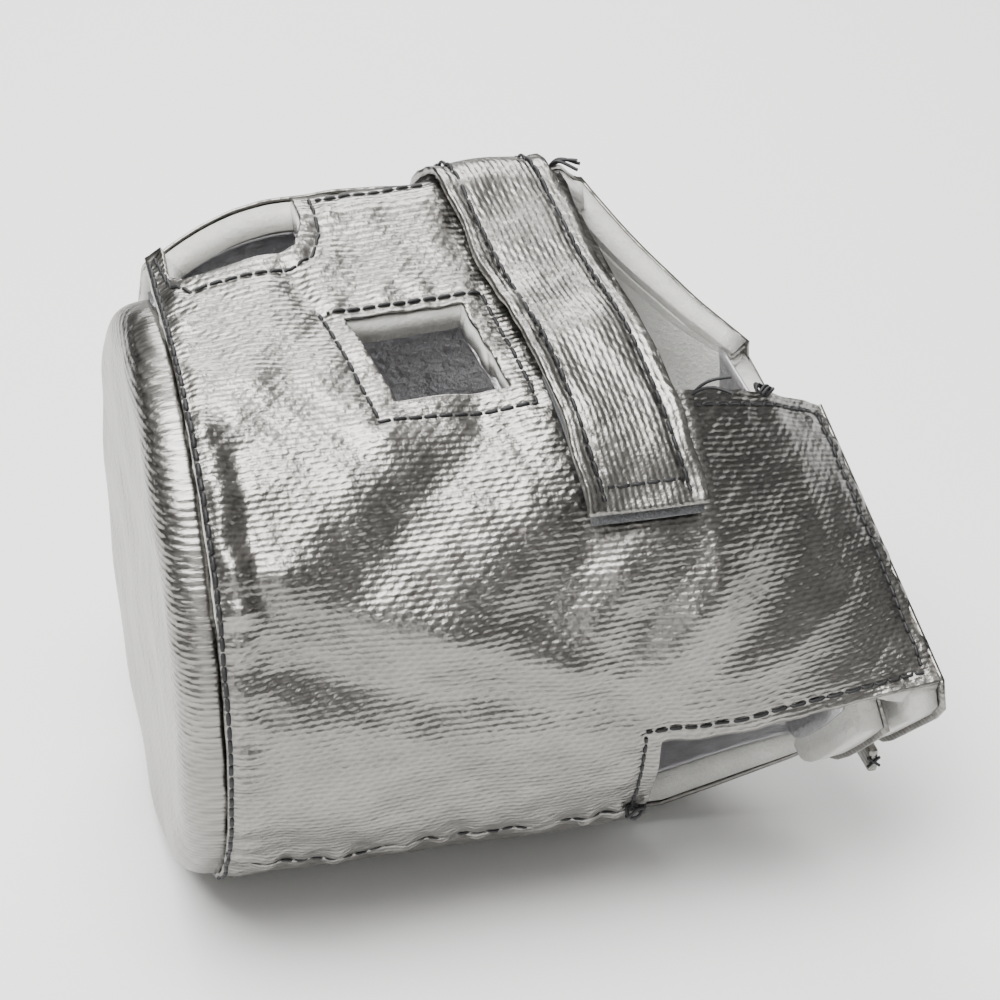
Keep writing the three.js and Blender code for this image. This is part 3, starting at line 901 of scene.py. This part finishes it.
@dataclass(frozen=True)
class WallPanels:
    """The front and back panels, each of three plies, with their flaps at the open end."""

    cloth_step: float = 1.1
    inner_step: float = 2.4
    ring_steps: int = 16
    arch: Route = ((4, 55), (33, 55), (33, 76), (30.5, 80), (27, 81), (10, 81), (6.5, 80), (4, 76))
    window: Route = ((37, 97), (62, 97), (67, 118), (43.5, 118))

    def build(self, shop: Workshop) -> None:
        """Builds both panels.

        Args:
            shop: Makes the pieces.
        """
        for layer in LAYERS:
            self.front(shop, layer)
            self.back(shop, layer)

    def step(self, layer: str) -> float:
        """Gives a ply's face size.

        Args:
            layer: The ply.

        Returns:
            Millimetres.
        """
        fine = self.cloth_step if layer == "cloth" else self.inner_step
        return fine

    def surface(self, layer: str, x: np.ndarray, angle: np.ndarray) -> np.ndarray:
        """Lays a ply on the sleeve with its folds.

        Args:
            layer: The ply.
            x: Places along the sleeve.
            angle: Angles round it.

        Returns:
            Points in millimetres.
        """
        relief = wall_relief(x, angle)
        if layer == "cloth":
            relief = relief + crumple(x, angle)
            relief = relief - 0.5 * np.exp(-((np.abs(SLEEVE.length - x) / 1.2) ** 2))
        if layer == "felt":
            arc = angle * SLEEVE.per_degree()
            x = x + 0.25 * waves(x, arc, 5, 4)
        points = SLEEVE.place(x, angle, LAYERS[layer][0] - relief)
        points[:, 2] = np.maximum(points[:, 2], LAYERS[layer][0] - SLEEVE.axis_height)
        return points

    def plate(self, outer: Callable[[float], np.ndarray], x: float, seed: int) -> bmesh.types.BMesh:
        """Makes a flap's ply as rings from its outline to its middle.

        Args:
            outer: Gives the outline as an array of points.
            x: The flap's place along the sleeve.
            seed: Which lumps it has.

        Returns:
            The flap's sheet.
        """
        outline = outer(x)
        middle = outline.mean(axis=0)
        mesh = Shape.grid(len(outline), self.ring_steps)
        closed = np.vstack([outline, outline[:1]])

        def where(u: np.ndarray, v: np.ndarray) -> np.ndarray:
            index = u * len(outline)
            rim = np.stack([np.interp(index, np.arange(len(closed)), closed[:, i]) for i in range(3)], -1)
            points = rim + (middle - rim) * (v[:, None])
            lump = 0.5 * waves(points[:, 1], points[:, 2], seed, 22) * np.clip(v * 4, 0, 1)
            points[:, 0] = x + lump + SLEEVE.skew(np.full_like(u, x), points[:, 1])
            return points

        Shape.bend(mesh, where)
        Shape.end_uv(mesh)
        bmesh.ops.remove_doubles(mesh, verts=mesh.verts, dist=1e-6)
        return mesh

    @staticmethod
    def outer_outline(depth: float) -> Callable[[float], np.ndarray]:
        """Gives the outline of the outer flap's ply.

        Args:
            depth: The ply's depth.

        Returns:
            A function from x to the outline.
        """
        def outline(x: float) -> np.ndarray:
            trim = depth * 2.5 / SLEEVE.per_degree()
            top = np.linspace(SLEEVE.hem_angle + trim, SLEEVE.notch_top - trim, 26)
            low = np.linspace(SLEEVE.notch_top + 10, SLEEVE.flare_angle + 352, 40)
            first = SLEEVE.place(np.full_like(top, x), top, depth)
            second = SLEEVE.place(np.full_like(low, SLEEVE.length), low, 0.0)
            corners = np.array([SLEEVE.end_top, SLEEVE.end_front, SLEEVE.end_bottom])
            lengths = np.array([np.hypot(*(corners[(i + 1) % 3] - corners[(i + 2) % 3])) for i in range(3)])
            centre = (corners * lengths[:, None]).sum(axis=0) / lengths.sum()
            (y0, z0), (y1, z1), (y2, z2) = corners
            area = abs((y1 - y0) * (z2 - z0) - (y2 - y0) * (z1 - z0)) / 2
            share = 1 - (depth + 0.3) * lengths.sum() / 2 / area
            second[:, 1:] = centre + (second[:, 1:] - centre) * share
            return np.vstack([first, second])

        return outline

    @staticmethod
    def inner_outline(depth: float) -> Callable[[float], np.ndarray]:
        """Gives the outline of the inner flap's ply.

        Args:
            depth: The ply's depth.

        Returns:
            A function from x to the outline.
        """
        def outline(x: float) -> np.ndarray:
            top = np.linspace(SLEEVE.hem_angle, SLEEVE.notch_top - 14, 22)
            low = np.linspace(SLEEVE.notch_top + 14, SLEEVE.flare_angle + 353, 40)
            first = SLEEVE.place(np.full_like(top, x), top, SLEEVE.wall + 0.9)
            second = SLEEVE.place(np.full_like(low, x), low, depth + 0.15)
            return np.vstack([first, second])

        return outline

    @staticmethod
    def joined(first: bmesh.types.BMesh, second: bmesh.types.BMesh) -> bmesh.types.BMesh:
        """Puts a second mesh into the first.

        Args:
            first: The mesh that is kept.
            second: The mesh that is freed.

        Returns:
            The first mesh.
        """
        between = bpy.data.meshes.new("between")
        second.to_mesh(between)
        second.free()
        first.from_mesh(between)
        bpy.data.meshes.remove(between)
        return first

    def front(self, shop: Workshop, layer: str) -> None:
        """Builds one ply of the front panel.

        Args:
            shop: Makes the pieces.
            layer: The ply.
        """
        depth, thickness, finish = LAYERS[layer]
        end = SLEEVE.length - depth
        top = SLEEVE.apex_angle + 1.2 / SLEEVE.per_degree()
        mesh = Shape.flat((0.4, end), (top, SLEEVE.bottom_seam), self.step(layer))
        mouth = ((SLEEVE.mouth[0], 55), (SLEEVE.mouth[0], SLEEVE.apex_angle),
                 (SLEEVE.mouth[1], SLEEVE.hem_angle), (160, SLEEVE.hem_angle), (160, 55))
        notch = ((SLEEVE.notch_start, SLEEVE.notch_top), (160, SLEEVE.notch_top), (160, 240),
                 (SLEEVE.notch_start, 240))
        for outline in (self.arch, self.window, mouth, notch):
            Shape.cut(mesh, outline)
        Shape.bend(mesh, lambda x, angle: self.surface(layer, x, angle))
        bmesh.ops.reverse_faces(mesh, faces=mesh.faces)
        flap = self.plate(self.outer_outline(depth), end, 31)
        made = shop.piece(f"front panel {layer}", self.joined(mesh, Shape.facing(flap, 1)), finish,
                          [f"front_panel_{layer}"], thickness)

    def back(self, shop: Workshop, layer: str) -> None:
        """Builds one ply of the back panel.

        Args:
            shop: Makes the pieces.
            layer: The ply.
        """
        depth, thickness, finish = LAYERS[layer]
        end = SLEEVE.inner_end - depth
        seam = SLEEVE.bottom_seam + 0.4 / SLEEVE.per_degree()
        flat_rim = 360 + SLEEVE.apex_angle
        mesh = Shape.flat((0.4, end), (seam, flat_rim), self.step(layer))
        notch = ((SLEEVE.notch_start, 200), (160, 200), (160, SLEEVE.notch_bottom),
                 (SLEEVE.notch_start, SLEEVE.notch_bottom))
        Shape.cut(mesh, notch)
        turn = 400.0

        def where(x: np.ndarray, angle: np.ndarray) -> np.ndarray:
            rim = 360 + SLEEVE.apex(x)
            share = (angle - turn) / (flat_rim - turn)
            bent = np.where(angle > turn, turn + share * (rim - turn), angle)
            return self.surface(layer, x, bent)

        Shape.bend(mesh, where)
        bmesh.ops.reverse_faces(mesh, faces=mesh.faces)
        flap = self.plate(self.inner_outline(depth), end, 47)
        made = shop.piece(f"back panel {layer}", self.joined(mesh, Shape.facing(flap, 1)), finish,
                          [f"back_panel_{layer}"], thickness)


@dataclass(frozen=True)
class EndCap:
    """The puffed disc that closes the round end."""

    radius: float = 62.5
    puff: float = 9
    shoulder: float = 9
    flat_share: float = 0.72
    rings: int = 46
    spokes: int = 260

    def build(self, shop: Workshop) -> None:
        """Builds the cap's three plies.

        Args:
            shop: Makes the pieces.
        """
        for layer, (depth, thickness, finish) in LAYERS.items():
            coarse = 1 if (layer == "cloth") else 3
            mesh = Shape.grid(self.rings // coarse, self.spokes // coarse)
            Shape.bend(mesh, lambda u, v, inset=depth, name=layer: self.surface(u, v, inset, name))
            Shape.end_uv(mesh)
            bmesh.ops.remove_doubles(mesh, verts=mesh.verts, dist=1e-6)
            made = shop.piece(f"cap {layer}", Shape.facing(mesh, -1), finish, [f"cap_{layer}"],
                              thickness)

    def surface(self, u: np.ndarray, v: np.ndarray, inset: float, layer: str) -> np.ndarray:
        """Lays a ply of the cap from its middle to its rim.

        Args:
            u: Share from the middle to the rim.
            v: Share round the cap.
            inset: The ply's depth.
            layer: The ply.

        Returns:
            Points in millimetres.
        """
        face, rim = -self.puff + inset, self.radius - inset
        inner = rim - self.shoulder
        bend = ramp(u, self.flat_share, 1.0)
        turned = (1 - bend) ** 2 * inner + (1 - (1 - bend) ** 2) * rim
        radius = np.where(u < self.flat_share, inner * u / self.flat_share, turned)
        out = np.where(u < self.flat_share, face, (1 - bend) ** 2 * face + 2 * bend * (1 - bend) * face)
        turn = v * 2 * math.pi
        y, z = radius * np.cos(turn), radius * np.sin(turn)
        if layer == "cloth":
            near = np.exp(-(((u - 0.93) / 0.1) ** 2))
            pucker = np.sin(turn * 47 + 2.2 * np.sin(turn * 5)) + 0.7 * np.sin(turn * 29 + 1.3)
            front = 0.35 + 0.65 * np.exp(-(((v - 0.47) / 0.13) ** 2))
            out = out - 0.32 * near * pucker * front * (1 - 0.6 * bend)
            out = out - 0.35 * waves(y, z, 12, 30) * (1 - bend) + 0.35
        return np.stack([out, y, z], -1)


@dataclass(frozen=True)
class Strap:
    """The strap over the top, with its tape, the patch that it grips, and its sewing."""

    width: float = 25
    thickness: float = 1.5
    free: tuple[float, float] = (89.5, 145)
    apex_x: float = 76
    back_angle: float = 22
    tape_length: float = 30
    tape_width: float = 23
    tape: float = 1.1
    gap: float = 0.5
    tape_reach: float = 1.5
    stitch_inset: float = 3.6
    cross_inset: float = 5
    sewn: tuple[float, float] = (0.018, 0.8)
    follow: float = 0.7
    bedding: float = 0.9
    thread_rise: float = 1.9

    def arc(self) -> float:
        """Gives the strap's length round the sleeve.

        Returns:
            Millimetres.
        """
        return (self.free[1] - self.back_angle) * SLEEVE.per_degree()

    def middle(self, share: np.ndarray) -> tuple[np.ndarray, np.ndarray]:
        """Gives the strap's middle line.

        Args:
            share: 0 at its free end, 1 at its back.

        Returns:
            Places along the sleeve, and angles.
        """
        angle = mix(self.free[1], self.back_angle, share)
        slope = (self.apex_x - self.free[0]) / (SLEEVE.apex_angle - self.free[1])
        return self.free[0] + slope * (angle - self.free[1]), angle

    def lift(self, share: np.ndarray) -> np.ndarray:
        """Gives how far the strap stands off the cloth.

        Args:
            share: 0 at its free end, 1 at its back.

        Returns:
            Millimetres.
        """
        settle = ramp(share * self.arc(), self.tape_length + 8, self.tape_length * 2)
        return mix(2 * self.tape + 3 * self.gap, self.gap, settle)

    def band(self, shares: tuple[float, float], width: float,
             stand_off: Callable[[np.ndarray], np.ndarray], step: float, lively: float) -> bmesh.types.BMesh:
        """Makes a band along the strap's line.

        Args:
            shares: From where to where.
            width: Its width.
            stand_off: How far its underside stands off the cloth.
            step: Its faces' size.
            lively: How much its edges wander.

        Returns:
            The sheet.
        """
        length = (shares[1] - shares[0]) * self.arc()
        mesh = Shape.grid(max(2, round(length / step)), max(2, round(width / step)))

        def where(u: np.ndarray, v: np.ndarray) -> np.ndarray:
            share = mix(shares[0], shares[1], u)
            x, angle = self.middle(share)
            along = share * self.arc()
            across = (v - 0.5) * width
            wander = lively * waves(along, along * 0, 61, 16) * np.abs(v - 0.5)
            stitch = np.exp(-(((np.abs(across) - (self.width / 2 - self.stitch_inset)) / 1.2) ** 2))
            relief = wall_relief(x + across, angle) * self.follow
            rise = lively * (0.35 * waves(along, across, 66, 18) - 0.5 * stitch + 0.9)
            return SLEEVE.place(x + across + wander, angle, -stand_off(share) - relief - rise - self.bedding)

        Shape.bend(mesh, where)
        layer = mesh.loops.layers.uv["Cloth"]
        factor = length, width / SLEEVE.per_degree()
        for face in mesh.faces:
            for loop in face.loops:
                loop[layer].uv = (loop[layer].uv[0] * factor[0], loop[layer].uv[1] * factor[1])
        bmesh.ops.reverse_faces(mesh, faces=mesh.faces)
        return mesh

    def side(self, sign: int) -> Callable[[np.ndarray], np.ndarray]:
        """Gives the stitch line along one side.

        Args:
            sign: -1 for the left side, 1 for the right.

        Returns:
            A function from 0 to 1 to points.
        """
        def where(share: np.ndarray) -> np.ndarray:
            along = mix(*self.sewn, share)
            x, angle = self.middle(along)
            across = sign * (self.width / 2 - self.stitch_inset)
            relief = wall_relief(x + across, angle) * self.follow
            rise = self.lift(along) + self.thickness + relief + self.thread_rise
            return SLEEVE.place(x + across, angle, -rise)

        return where

    def build(self, shop: Workshop) -> None:
        """Builds the strap and what goes with it.

        Args:
            shop: Makes the pieces.
        """
        step = 0.9
        mesh = self.band((0, 1), self.width, lambda s: self.lift(s) + self.thickness, step, 1.0)
        strap = shop.piece("strap", mesh, Finish.CLOTH, ["strap"], self.thickness)
        share = self.tape_length / self.arc()
        start = -self.tape_reach / self.arc()
        levels = {"strap hook tape": ("strap_hook_tape", self.tape + 2 * self.gap),
                  "front loop patch": ("front_loop_patch", self.gap)}
        for name, (node, level) in levels.items():
            mesh = self.band((start, share), self.tape_width, lambda s, at=level: at + self.tape + s * 0,
                             1.2, 0.2)
            shop.piece(name, mesh, Finish.HOOK, [node], self.tape)
        for sign, name in ((-1, "strap_left_seam"), (1, "strap_right_seam")):
            line = self.side(sign)
            shop.threads(name.replace("_", " "), [Stitching.run(line, self.sewn[1] * self.arc())], [name])

        crossing = self.cross_inset / self.arc()

        def cross(share: np.ndarray) -> np.ndarray:
            x, angle = self.middle(np.full_like(share, crossing))
            across = mix(-7.5, 7.5, share)
            relief = wall_relief(x + across, angle) * self.follow
            rise = self.lift(crossing) + self.thickness + relief + self.thread_rise
            return SLEEVE.place(x + across, angle, -rise)

        shop.threads("strap cross seam", [Stitching.run(cross, 15)], ["strap_cross_seam"])


@dataclass(frozen=True)
class Stitching:
    """The runs of black thread on the panels, and their loose ends and knots."""

    stitch: float = 3.2

    @staticmethod
    def run(line: Callable[[np.ndarray], np.ndarray], length: float, stitch: float = 3.2) -> np.ndarray:
        """Makes a run of stitches that goes down into the cloth between them.

        Args:
            line: Gives points just on the cloth from shares 0 to 1.
            length: The run's length in millimetres.
            stitch: One stitch's length.

        Returns:
            The thread's points in millimetres.
        """
        count = max(8, int(length / 0.4))
        share = np.linspace(0, 1, count)
        points = line(share)
        phase = (share * length / stitch) % 1.0
        dip = np.exp(-(((phase - 0.5) / 0.12) ** 2))
        centre = np.array([np.mean(points[:, 0]), 0.0, 0.0])
        away = points - centre
        away[:, 0] = 0
        away /= np.linalg.norm(away, axis=1)[:, None] + 1e-9
        return points - away * (1.1 * dip)[:, None]

    def route_line(self, route: Route) -> tuple[Callable[[np.ndarray], np.ndarray], float]:
        """Lays a route of flat places on the cloth.

        Args:
            route: The [along, angle] places.

        Returns:
            A function from shares to points, and the route's length.
        """
        corners = np.array(route, float)
        flat = corners * [1, SLEEVE.per_degree()]
        steps = np.concatenate([[0], np.cumsum(np.hypot(*np.diff(flat, axis=0).T))])

        def line(share: np.ndarray) -> np.ndarray:
            along = share * steps[-1]
            x = np.interp(along, steps, corners[:, 0])
            angle = np.interp(along, steps, corners[:, 1])
            relief = wall_relief(x, angle) + crumple(x, angle)
            return SLEEVE.place(x, angle, -relief - 0.25)

        return line, float(steps[-1])

    def build(self, shop: Workshop) -> None:
        """Sews every run.

        Args:
            shop: Makes the pieces.
        """
        for name, route in ROUTES.items():
            line, length = self.route_line(route)
            runs = [self.run(line, length, self.stitch)]
            if name == "front_hem_seam":
                runs += [self.loose((104, 124), seed, 9) for seed in (1, 2)]
                runs += [self.knot((124, 121.5), 1.6, 3)]
            if name == "notch_side_seam":
                runs += [self.knot((89, 215), 2.0, 4)]
            if name == "top_hem_seam":
                runs += [self.loose((90.5, 67.5), seed, 7) for seed in (5, 6, 7, 8)]
            shop.threads(name.replace("_", " "), runs, [name], 0.5 if name == "cap_seam" else 0.38)

    def loose(self, at: tuple[float, float], seed: int, length: float) -> np.ndarray:
        """Makes a loose thread end.

        Args:
            at: Where it leaves the cloth.
            seed: Which way it curls.
            length: How long it is.

        Returns:
            The thread's points.
        """
        random = np.random.default_rng(seed)
        start = SLEEVE.place(np.array([at[0]]), np.array([at[1]]), -0.6)[0]
        way = np.array([0.5 + 0.6 * random.random(), -0.6 * random.random(), 0.15 + 0.3 * random.random()])
        way /= np.linalg.norm(way)
        turn = np.array([-way[2], 0.3, way[0]])
        share = np.linspace(0, 1, 16)[:, None]
        curl = random.uniform(1.5, 3.0) * np.sin(share * math.pi * random.uniform(0.8, 1.3))
        return start + way * share * length + turn * curl * 0.6

    def knot(self, at: tuple[float, float], radius: float, seed: int) -> np.ndarray:
        """Makes a small knot of thread.

        Args:
            at: Where it lies on the cloth.
            radius: Its size.
            seed: How it is wound.

        Returns:
            The thread's points.
        """
        centre = SLEEVE.place(np.array([at[0]]), np.array([at[1]]), -0.9)[0]
        turn = np.linspace(0, 2 * math.pi, 60)
        wound = np.stack([np.cos(3 * turn + seed), np.sin(2 * turn), 0.6 * np.sin(5 * turn)], -1)
        return centre + wound * radius


@dataclass(frozen=True)
class EndClosure:
    """The patches between the end flaps, the stitched tab, and the tuck flap in the mouth."""

    patch: tuple[float, float] = (17, 13)
    place: tuple[float, float] = (-31, -21)
    tuck_reach: float = 13
    tuck_slope: float = 1.1
    tuck_top: float = 74

    def build(self, shop: Workshop) -> None:
        """Builds the closure's pieces.

        Args:
            shop: Makes the pieces.
        """
        for node in ("closure_loop_patch", "closure_hook_patch"):
            self.boxed(shop, node, Finish.HOOK, 0.2)
        tab = self.boxed(shop, "closure_tab", Finish.CLOTH, 0.8)
        low, high = (np.array(corner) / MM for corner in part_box("closure_tab"))
        low, high = low - SHIFT / MM, high - SHIFT / MM
        face = low[1] - 0.25
        crosses = [np.array([(low[0] - 0.2, face, mix(low[2], high[2], 0.3)),
                             (high[0] + 0.2, face, mix(low[2], high[2], 0.7))]),
                   np.array([(low[0] - 0.2, face, mix(low[2], high[2], 0.7)),
                             (high[0] + 0.2, face, mix(low[2], high[2], 0.3))])]
        thread = shop.threads("closure tab stitches", crosses, [], 0.35)
        thread.parent = tab
        self.tuck(shop)

    def boxed(self, shop: Workshop, node: str, finish: Finish, round_off: float) -> bpy.types.Object:
        """Makes a small block of cloth in the place of a CAD node.

        Args:
            shop: Makes the pieces.
            node: The node.
            finish: What it is made of.
            round_off: How far its edges are rounded, in millimetres.

        Returns:
            The object.
        """
        low, high = (Vector(corner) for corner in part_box(node))
        mesh = bmesh.new()
        bmesh.ops.create_cube(mesh, size=1)
        bmesh.ops.scale(mesh, verts=mesh.verts, vec=high - low)
        bmesh.ops.translate(mesh, verts=mesh.verts, vec=(high + low) / 2)
        bmesh.ops.bevel(mesh, geom=mesh.edges[:], offset=round_off * MM, segments=3, profile=0.5,
                        affect="EDGES", material=-1)
        Shape.end_uv(mesh)
        return shop.piece(node.replace("_", " "), mesh, finish, [node])

    def tuck(self, shop: Workshop) -> None:
        """Builds the tuck flap, which slopes down into the sleeve from the mouth.

        Args:
            shop: Makes the pieces.
        """
        start, end = SLEEVE.mouth[0] - 8, SLEEVE.mouth[1] + self.tuck_reach
        mesh = Shape.flat((start, end), (self.tuck_top, SLEEVE.hem_angle), 1.2)

        def where(x: np.ndarray, angle: np.ndarray) -> np.ndarray:
            edge = mix(*SLEEVE.mouth, ramp(angle, SLEEVE.apex_angle, SLEEVE.hem_angle))
            depth = SLEEVE.wall + 0.5 + self.tuck_slope * np.maximum(0, x - edge)
            relief = wall_relief(x, angle) * 0.9
            arc = angle * SLEEVE.per_degree()
            return SLEEVE.place(x, angle, depth - relief + 0.3 * waves(x, arc, 15, 11))

        Shape.bend(mesh, where)
        bmesh.ops.reverse_faces(mesh, faces=mesh.faces)
        made = shop.piece("tuck flap", mesh, Finish.CLOTH, ["tuck_flap"], 0.8)


@dataclass(frozen=True)
class Studio:
    """The pale floor, the soft light and the camera."""

    azimuth: float = 13.6
    elevation: float = 30.7
    distance: float = 0.683
    aim: tuple[float, float, float] = (0.0721, 0.0, 0.0118)
    lens: float = 111.7
    floor_reach: float = 0.75
    room: tuple[tuple[float, str], ...] = (
        (0.0, "#0c0c0d"), (0.14, "#1a1a1b"), (0.28, "#6f6f70"), (0.38, "#d0d0d0"),
        (0.5, "#9c9b99"), (0.75, "#a9a8a6"), (1.0, "#f0f0f0"),
    )

    def build(self) -> None:
        """Sets the stage."""
        self.floor()
        self.world()
        self.light("key softbox", (-0.25, -0.15, 0.95), 0.75, 24.0)
        self.light("back strip", (0.1, 0.75, 0.65), 0.5, 8.0)
        self.light("front fill", (-0.35, -0.9, 0.35), 0.3, 1.2)
        self.camera()

    def floor(self) -> None:
        """Lays the floor."""
        mesh = bmesh.new()
        bmesh.ops.create_grid(mesh, x_segments=1, y_segments=1, size=self.floor_reach)
        data = bpy.data.meshes.new("floor")
        mesh.to_mesh(data)
        mesh.free()
        made = bpy.data.objects.new("floor", data)
        bpy.context.scene.collection.objects.link(made)
        data.materials.append(PaleFloor().build())

    def world(self) -> None:
        """Makes a pale room with a darker band at eye level, which the metal film mirrors."""
        world = bpy.data.worlds.new("studio")
        world.use_nodes = True
        bpy.context.scene.world = world
        tree = world.node_tree
        coords = tree.nodes.new("ShaderNodeTexCoord")
        parts = tree.nodes.new("ShaderNodeSeparateXYZ")
        bands = tree.nodes.new("ShaderNodeValToRGB")
        tree.links.new(coords.outputs["Generated"], parts.inputs[0])
        tree.links.new(parts.outputs["Z"], bands.inputs[0])
        stops = bands.color_ramp.elements
        stops[0].position, stops[0].color = 0.0, linear(self.room[0][1])
        stops[1].position, stops[1].color = 1.0, linear(self.room[-1][1])
        for place, colour in self.room[1:-1]:
            stops.new(place).color = linear(colour)
        ground = tree.nodes["Background"]
        tree.links.new(bands.outputs[0], ground.inputs["Color"])
        pale = tree.nodes.new("ShaderNodeBackground")
        pale.inputs["Color"].default_value = linear("#f4f4f3")
        rays = tree.nodes.new("ShaderNodeLightPath")
        choice = tree.nodes.new("ShaderNodeMixShader")
        tree.links.new(rays.outputs["Is Camera Ray"], choice.inputs[0])
        tree.links.new(ground.outputs[0], choice.inputs[1])
        tree.links.new(pale.outputs[0], choice.inputs[2])
        tree.links.new(choice.outputs[0], tree.nodes["World Output"].inputs["Surface"])

    def light(self, name: str, at: tuple[float, float, float], size: float, power: float) -> None:
        """Adds a softbox that faces the shield.

        Args:
            name: Its name.
            at: Its place in metres.
            size: Its side.
            power: Its power in watts.
        """
        data = bpy.data.lights.new(name, "AREA")
        data.size = size
        data.energy = power
        made = bpy.data.objects.new(name, data)
        made.location = at
        made.rotation_euler = (Vector((0, 0, 0.06)) - Vector(at)).to_track_quat("-Z", "Y").to_euler()
        bpy.context.scene.collection.objects.link(made)

    def camera(self) -> None:
        """Places the camera at the photograph's angle."""
        turn, rise = self.azimuth * DEGREE, self.elevation * DEGREE
        way = Vector((math.sin(turn) * math.cos(rise), math.cos(turn) * math.cos(rise), -math.sin(rise)))
        data = bpy.data.cameras.new("camera")
        data.lens = self.lens
        data.sensor_width = 36
        data.clip_end = 20
        made = bpy.data.objects.new("camera", data)
        made.location = Vector(self.aim) + Vector(SHIFT) - way * self.distance
        made.rotation_euler = Euler((math.pi / 2 - rise, 0, -turn))
        bpy.context.scene.collection.objects.link(made)
        bpy.context.scene.camera = made


def main() -> None:
    """Builds every piece, then the studio."""
    logging.basicConfig(level=logging.INFO, format="%(message)s")
    shop = Workshop()
    for assembly in (WallPanels(), EndCap(), Strap(), Stitching(), EndClosure()):
        LOG.info("building %s", type(assembly).__name__)
        assembly.build(shop)
    Studio().build()


if __name__ == "__main__":
    main()
